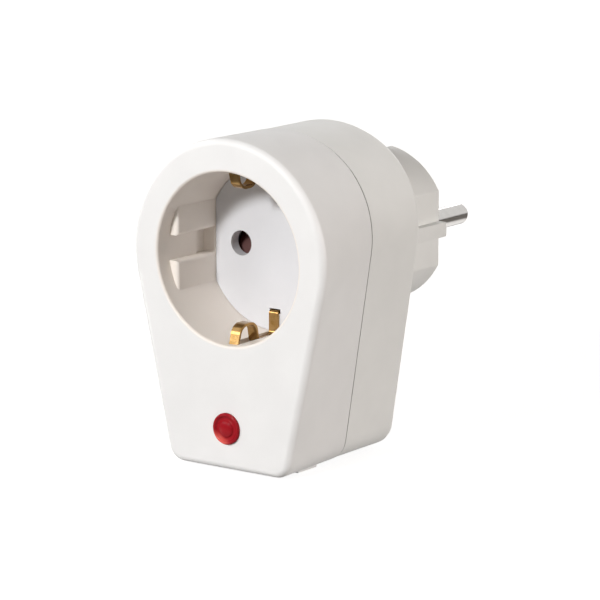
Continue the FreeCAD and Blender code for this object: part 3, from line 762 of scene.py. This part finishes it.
@dataclass
class Housing(Assembly):
    """The two moulded shells and the screws that hold them.

    Args:
        front_colour: Linear colour of the front shell.
        rear_colour: Linear colour of the rear shell.
        recess_shade_colour: Linear colour painted on the socket recess's walls as their warm shade.
        roughness: Least and greatest roughness of the shells.
        joint_depth: Metres from the front face to the middle of the joint.
    """

    front_colour: Colour = (0.82, 0.815, 0.81)
    rear_colour: Colour = (0.82, 0.82, 0.805)
    recess_shade_colour: Colour = (0.865, 0.805, 0.745)
    roughness: Range = (0.46, 0.54)
    joint_depth: float = 21.1 * MILLIMETRE

    def build(self) -> None:
        """Dresses the shells and screws."""
        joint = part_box("front_shell")[0].y + self.joint_depth
        front = ShellPlastic("front_shell_plastic", self.front_colour, roughness=self.roughness,
                             joint=joint, recess=self.recess_shade_colour)
        front.dress("front_shell")
        rear = ShellPlastic("rear_shell_plastic", self.rear_colour, roughness=self.roughness,
                            joint=joint)
        rear.dress("rear_shell")
        zinc = SheetMetal("screw_zinc", (0.62, 0.62, 0.64), tarnish=(0.48, 0.48, 0.50),
                          roughness=(0.26, 0.40))
        zinc.dress("housing_screws")


@dataclass
class Socket(Assembly):
    """Insert, shutter, contacts and earth clips of the socket.

    Args:
        insert_colour: Linear colour of the disc that closes the recess.
        carrier_colour: Linear colour of the contact carrier.
        shutter_colour: Linear colour of the shutter.
        brass: Linear reflection colour of the brass.
        brass_tarnish: Linear colour of its duller patches.
        loop_corner: X and -Z, in metres, of the point at which the spring's loop has turned from
            its fixed leg to its moving one. Not used.
    """

    insert_colour: Colour = (0.66, 0.665, 0.69)
    carrier_colour: Colour = (0.62, 0.62, 0.60)
    shutter_colour: Colour = (0.065, 0.014, 0.011)
    brass: Colour = (0.43, 0.27, 0.11)
    brass_tarnish: Colour = (0.29, 0.165, 0.05)
    loop_corner: float = 2.35 * MILLIMETRE

    def build(self) -> None:
        """Dresses the socket's pieces and builds a copy of the spring."""
        insert = MouldedPlastic("insert_plastic", self.insert_colour, roughness=(0.38, 0.46))
        insert.dress("socket_insert")
        carrier = MouldedPlastic("carrier_plastic", self.carrier_colour, roughness=(0.56, 0.64))
        carrier.dress("contact_carrier")
        shutter = MouldedPlastic("shutter_plastic", self.shutter_colour, roughness=(0.46, 0.54))
        shutter.dress("shutter")
        clips = SheetMetal("clip_brass", self.brass, tarnish=self.brass_tarnish,
                           roughness=(0.12, 0.26))
        clips.dress("socket_earth_clip_top", "socket_earth_clip_bottom")
        strips = SheetMetal("contact_brass", self.brass, tarnish=self.brass_tarnish,
                            roughness=(0.24, 0.38))
        strips.dress("socket_contact_left", "socket_contact_right", "busbar_left",
                     "busbar_right", "earth_bridge")
        tin = SheetMetal("rivet_tin", (0.66, 0.65, 0.63), tarnish=(0.5, 0.49, 0.47),
                         roughness=(0.19, 0.33))
        tin.dress("contact_rivets", "earth_rivets")
        steel = SheetMetal("spring_steel", (0.6, 0.6, 0.62), tarnish=(0.42, 0.42, 0.44),
                           roughness=(0.24, 0.38),
                           relief=Grain.along(Axis.X, STREAK_WIDTH, STREAK_SHARE))
        self.bend_spring(steel.make())

    def bend_spring(self, steel: bpy.types.Material) -> None:
        """Puts a copy in the hairpin spring's place and hides the fixed spring.

        Args:
            steel: The spring's finish.
        """
        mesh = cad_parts["shutter_spring"].data.copy()
        mesh.materials.clear()
        mesh.materials.append(steel)
        spring = add_object("shutter_spring_bending", mesh)
        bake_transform(spring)
        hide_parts("shutter_spring")
        log.info("shutter_spring_bending replaces shutter_spring")


@dataclass
class Plug(Assembly):
    """Pins and earth strips of the plug.

    Args:
        nickel: Linear reflection colour of the plating.
        nickel_tarnish: Linear colour of its duller patches.
    """

    nickel: Colour = (0.78, 0.755, 0.73)
    nickel_tarnish: Colour = (0.74, 0.715, 0.69)

    def build(self) -> None:
        """Dresses the plug's metal."""
        pins = SheetMetal("pin_nickel", self.nickel, tarnish=self.nickel_tarnish,
                          roughness=(0.06, 0.20))
        pins.dress("plug_pin_left", "plug_pin_right")
        strips = SheetMetal("earth_strip_nickel", self.nickel, tarnish=self.nickel_tarnish,
                            roughness=(0.20, 0.34))
        strips.dress("plug_earth_strip_top", "plug_earth_strip_bottom")


@dataclass
class Indicator(Assembly):
    """Red lens with a rounded rim, a trough and a dome, and the lamp behind it.

    Args:
        dome_radius: Radius of the dome at the trough.
        dome_steps: Spans of the dome's curve.
        trough_depth: Depth of the trough's side below the rim's top.
        trough_rounding: How far in from its two walls, and how much deeper, its flat floor is.
        rim_lift: Height of the rim's top over the housing's face.
        rim_round: Radius of the rim's rounding.
        rim_sweep: First and last angle of that rounding, in degrees.
        rim_steps: Spans of the rounding.
        rim_share: Distance from the rim's outside to the trough, in radii of the rounding.
        seat_gap: Gap between the rim and the housing's face.
        barrel_radius: Radius of the barrel in the housing's bore.
        bore_radius: Radius of the bore that takes the lamp.
        bore_ends: Depths below the housing's face at which the bore ends, at its wall and in
            its middle.
        segments: Faces round the lens.
        node: The fixed piece whose place the lens takes.
    """

    dome_radius: float = 1.95 * MILLIMETRE
    dome_steps: int = 8
    trough_depth: float = 0.40 * MILLIMETRE
    trough_rounding: Range = (0.15 * MILLIMETRE, 0.06 * MILLIMETRE)
    rim_lift: float = 0.75 * MILLIMETRE
    rim_round: float = 0.42 * MILLIMETRE
    rim_sweep: Range = (200.0, 360.0)
    rim_steps: int = 10
    rim_share: float = 2.2
    seat_gap: float = 0.02 * MILLIMETRE
    barrel_radius: float = 3.0 * MILLIMETRE
    bore_radius: float = 2.2 * MILLIMETRE
    bore_ends: Range = (1.2 * MILLIMETRE, 0.8 * MILLIMETRE)
    segments: int = 96
    node: str = "indicator_lens"

    def dome(self, top: float, side: float) -> Profile:
        """Section of the dome.

        Args:
            top: Y of its middle.
            side: Y of the trough's side.

        Returns:
            Pairs of radius and Y.
        """
        points: Profile = [(0.0, top)]
        for step in range(1, self.dome_steps + 1):
            angle = math.radians(90 * step / self.dome_steps)
            y = top + (side - top) * (1 - math.cos(angle))
            points.append((self.dome_radius * math.sin(angle), y))
        return points

    def profile(self, low: Vector, high: Vector, face: float) -> Profile:
        """Section of the lens from its dome round the rim to the barrel's bore.

        Args:
            low: Lowest corner of the fixed lens.
            high: Highest corner of the fixed lens.
            face: Y of the housing's front face.

        Returns:
            Pairs of radius and Y.
        """
        rim = (high.x - low.x) / 2
        rim_top = face - self.rim_lift
        side = rim_top + self.trough_depth
        inset, drop = self.trough_rounding
        at_wall, in_middle = self.bore_ends
        points = self.dome(low.y, side)
        points.append((self.dome_radius + inset, side + drop))
        points.append((rim - self.rim_share * self.rim_round - inset, side + drop))
        turn = (rim - self.rim_round, rim_top + self.rim_round)
        points += arc_profile(turn, self.rim_round, self.rim_sweep, self.rim_steps)
        points += [(rim, face - self.seat_gap), (self.barrel_radius, face)]
        points += [(self.barrel_radius, high.y), (self.bore_radius, high.y)]
        points += [(self.bore_radius, face + at_wall), (0.0, face + in_middle)]
        return points

    def build(self) -> None:
        """Builds the lens, and dresses it and the lamp."""
        low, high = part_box(self.node)
        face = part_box("front_shell")[0].y
        centre = ((low.x + high.x) / 2, 0.0, (low.z + high.z) / 2)
        lens = turned_mesh("lens_turned", self.profile(low, high, face), centre, self.segments)
        red = LensPlastic("lens_red_plastic", centre=centre, radius=(high.x - low.x) / 2)
        lens.data.materials.append(red.make())
        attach(lens, Body.ADAPTER.value)
        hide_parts(self.node)
        log.info("lens_turned replaces %s", self.node)
        LampGlass("lamp_clear_glass").dress("indicator_lamp")


@dataclass
class Circuit(Assembly):
    """Board, varistors, fuse, resistor and wires inside the housing.

    Args:
        coat: Linear colour of the varistors' coat.
        ceramic: Linear colour of the fuse.
        lacquer: Linear colour of the resistor.
        bands: Pairs of a distance from the resistor's middle along X, in metres, and the
            band's linear colour.
        brown: Linear colour of the line wire.
        blue: Linear colour of the neutral wire.
        green: Linear colour of the earth wire.
        yellow: Linear colour of its striped side.
    """

    coat: Colour = (0.03, 0.12, 0.42)
    ceramic: Colour = (0.70, 0.66, 0.55)
    lacquer: Colour = (0.55, 0.42, 0.26)
    bands: tuple[tuple[float, Colour], ...] = (
        (-1.8 * MILLIMETRE, (0.5, 0.2, 0.02)),
        (-0.8 * MILLIMETRE, (0.02, 0.02, 0.02)),
        (0.2 * MILLIMETRE, (0.6, 0.5, 0.02)),
        (1.6 * MILLIMETRE, (0.55, 0.38, 0.1)),
    )
    brown: Colour = (0.10, 0.035, 0.015)
    blue: Colour = (0.01, 0.07, 0.35)
    green: Colour = (0.05, 0.25, 0.03)
    yellow: Colour = (0.75, 0.65, 0.03)

    def build(self) -> None:
        """Dresses the circuit's pieces."""
        BoardLaminate("board_laminate").dress("circuit_board")
        coat = BandedBody("varistor_coat", self.coat)
        coat.dress("varistor_line_neutral", "varistor_line_earth", "varistor_neutral_earth")
        BandedBody("fuse_ceramic", self.ceramic).dress("thermal_fuse")
        low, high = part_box("lamp_resistor")
        middle = (low.x + high.x) / 2
        bands = tuple((middle + offset, paint) for offset, paint in self.bands)
        BandedBody("resistor_lacquer", self.lacquer, bands=bands).dress("lamp_resistor")
        Insulation("wire_brown", self.brown).dress("line_wire")
        Insulation("wire_blue", self.blue).dress("neutral_wire")
        low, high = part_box("earth_wire")
        middle = (low.x + high.x) / 2
        earth = Insulation("wire_green", self.green, stripe=self.yellow, stripe_from=middle)
        earth.dress("earth_wire")


@dataclass
class PhotoCamera:
    """Camera fitted to the photograph.

    Args:
        target: Point that it looks at, in metres.
        bearing: Degrees from straight ahead of the socket towards +X.
        height: Degrees above the horizon.
        distance: Metres from the target.
        focal_share: Focal length over the sensor's width.
        sensor: The sensor's width in millimetres.
        nearest: Metres from the camera at which the view starts.
    """

    target: Point = (0.005526, -0.04055, -0.011701)
    bearing: float = 36.176
    height: float = 11.623
    distance: float = 0.777808
    focal_share: float = 3453.279 / 600
    sensor: float = 36.0
    nearest: float = 0.01

    def build(self) -> None:
        """Adds the camera and makes it the scene's."""
        data = bpy.data.cameras.new("photo_camera")
        data.sensor_width = self.sensor
        data.lens = self.focal_share * self.sensor
        data.clip_start = self.nearest
        camera = add_object("photo_camera", data)
        stand_off(camera, self.target, self.bearing, self.height, self.distance)
        bpy.context.scene.camera = camera
        log.info("camera at %s", tuple(round(part, 4) for part in camera.location))


@dataclass
class SoftLamp:
    """A square soft lamp that looks at the object.

    Args:
        name: The lamp's name.
        bearing: Degrees from straight ahead of the socket towards +X.
        height: Degrees above the horizon.
        level: Brightness that it gives to a white surface that faces it.
        size: Side in metres.
        distance: Metres from the target.
        colour: Linear colour.
        target: Point that it looks at, in metres.
    """

    name: str
    bearing: float
    height: float
    level: float
    size: float = 0.4
    distance: float = 1.5
    colour: Colour = (1.0, 1.0, 1.0)
    target: Point = (0.0, -0.04, -0.01)

    def build(self) -> None:
        """Adds the lamp, with the power that gives its level at its distance."""
        data = bpy.data.lights.new(self.name, "AREA")
        data.shape = "SQUARE"
        data.size = self.size
        data.energy = self.level * math.pi ** 2 * self.distance ** 2
        data.color = self.colour
        lamp = add_object(self.name, data)
        stand_off(lamp, self.target, self.bearing, self.height, self.distance)
        log.info("lamp %s", self.name)


@dataclass
class Studio:
    """Pale floor, white surround and soft lamps.

    Args:
        floor_half: Half the floor's side in metres.
        floor_colour: Linear colour of the floor.
        floor_lift: Glow of the floor near the object, for rays that meet it directly or mirrored.
        lit_reach: Metres from the origin between which the mirrored glow fades out.
        fade_reach: Metres from the origin between which the seen floor turns to full white.
        surround_front: Brightness of the mirrored surround in front.
        surround_back: Its brightness behind.
        surround_low: Share of it left at the horizon and below.
        across: Y of the direction between which it turns from front to back.
        overhead: Z of the direction between which it turns to white overhead.
        rising: Z of the direction between which it reaches its full share.
        ambient: Linear colour of the surround as a light.
        lamps: The soft lamps.
    """

    floor_half: float = 6.0
    floor_colour: Colour = (0.27, 0.26, 0.25)
    floor_lift: float = 0.9
    lit_reach: Range = (0.08, 0.13)
    fade_reach: Range = (0.25, 1.2)
    surround_front: float = 1.3
    surround_back: float = 0.78
    surround_low: float = 0.5
    across: Range = (-0.3, 0.5)
    overhead: Range = (0.6, 0.9)
    rising: Range = (0.0, 0.12)
    ambient: Colour = (0.08, 0.068, 0.055)
    lamps: list[SoftLamp] = field(default_factory=lambda: [
        SoftLamp("key_lamp", -2.5, 25.6, 0.835, 0.13, 0.9),
        SoftLamp("front_left_lamp", -40.0, 21.0, 0.17, 0.26, 0.9),
        SoftLamp("right_lamp", 112.0, 11.0, 0.59, 0.6, colour=(1.0, 0.955, 0.92)),
        SoftLamp("front_right_lamp", 60.0, 3.0, 0.06, 0.6, colour=(1.0, 0.97, 0.94)),
        SoftLamp("left_lamp", -100.0, 12.0, 0.55, 0.6),
        SoftLamp("rear_lamp", -160.0, 8.0, 0.24, 0.6),
    ])

    def floor_material(self) -> bpy.types.Material:
        """Pale floor that keeps a shadow and reads as white.

        Returns:
            The material.
        """
        sheet = NodeSheet(bpy.data.materials.new("studio_floor"), "ShaderNodeOutputMaterial")
        distance = sheet.distance((1.0, 1.0, 0.0))
        near = sheet.span(distance, self.lit_reach, (self.floor_lift, 0.0))
        far = sheet.span(distance, self.fade_reach, (self.floor_lift, 1.0))
        mirrored = sheet.compute("MULTIPLY", sheet.struck_by(Rays.MIRRORED), near)
        direct = sheet.compute("MULTIPLY", sheet.struck_by(Rays.DIRECT), far)
        strength = sheet.compute("ADD", mirrored, direct)
        lift = sheet.add("ShaderNodeEmission", {"Strength": strength})
        diffuse = sheet.add("ShaderNodeBsdfDiffuse", {"Color": tinted(self.floor_colour)})
        shaders = {0: diffuse.outputs[0], 1: lift.outputs[0]}
        sheet.show(sheet.add("ShaderNodeAddShader", shaders))
        return sheet.owner

    def build_floor(self, level: float) -> None:
        """Adds the floor.

        Args:
            level: Its height in metres.
        """
        half = self.floor_half
        mesh = bpy.data.meshes.new("studio_floor")
        corners = [(x, y, level) for x, y in
                   ((-half, -half), (half, -half), (half, half), (-half, half))]
        mesh.from_pydata(corners, [], [(0, 1, 2, 3)])
        mesh.materials.append(self.floor_material())
        floor = add_object("studio_floor", mesh)
        floor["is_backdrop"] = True

    def surround_grade(self, sheet: NodeSheet) -> Signal:
        """Grades the surround: brightest in front and overhead, greyer behind and low down.

        Args:
            sheet: The world's node tree.

        Returns:
            The brightness.
        """
        direction = sheet.add("ShaderNodeTexCoord").outputs["Generated"]
        backwards = sheet.part(direction, Axis.Y)
        upwards = sheet.part(direction, Axis.Z)
        sides = sheet.span(backwards, self.across, (self.surround_front, self.surround_back))
        above = sheet.span(upwards, self.overhead, (0.0, 1.0))
        share = sheet.span(upwards, self.rising, (self.surround_low, 1.0))
        return sheet.compute("MULTIPLY", sheet.compute("MAXIMUM", sides, above), share)

    def build_world(self) -> None:
        """Sets the surround: white where it is seen, softer as a light, graded where mirrored."""
        world = bpy.data.worlds.new("studio_surround")
        bpy.context.scene.world = world
        sheet = NodeSheet(world, "ShaderNodeOutputWorld")
        seen = sheet.blend(sheet.struck_by(Rays.DIRECT), tinted(self.ambient), WHITE)
        mirrored = sheet.struck_by(Rays.MIRRORED)
        colour = sheet.blend(mirrored, seen, self.surround_grade(sheet))
        sheet.show(sheet.add("ShaderNodeBackground", {"Color": colour}))

    def build(self, level: float) -> None:
        """Adds floor, surround and lamps.

        Args:
            level: Height of the floor in metres.
        """
        bpy.context.scene.view_settings.view_transform = "Standard"
        self.build_floor(level)
        self.build_world()
        for lamp in self.lamps:
            lamp.build()


def main() -> None:
    """Builds the camera, the assemblies and the studio."""
    logging.basicConfig(level=logging.INFO, format="%(name)s: %(message)s")
    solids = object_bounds()
    PhotoCamera().build()
    for assembly in (Housing(), Socket(), Plug(), Indicator(), Circuit()):
        log.info("building %s", type(assembly).__name__)
        assembly.build()
    Studio().build(solids[0].z)


if __name__ == "__main__":
    main()
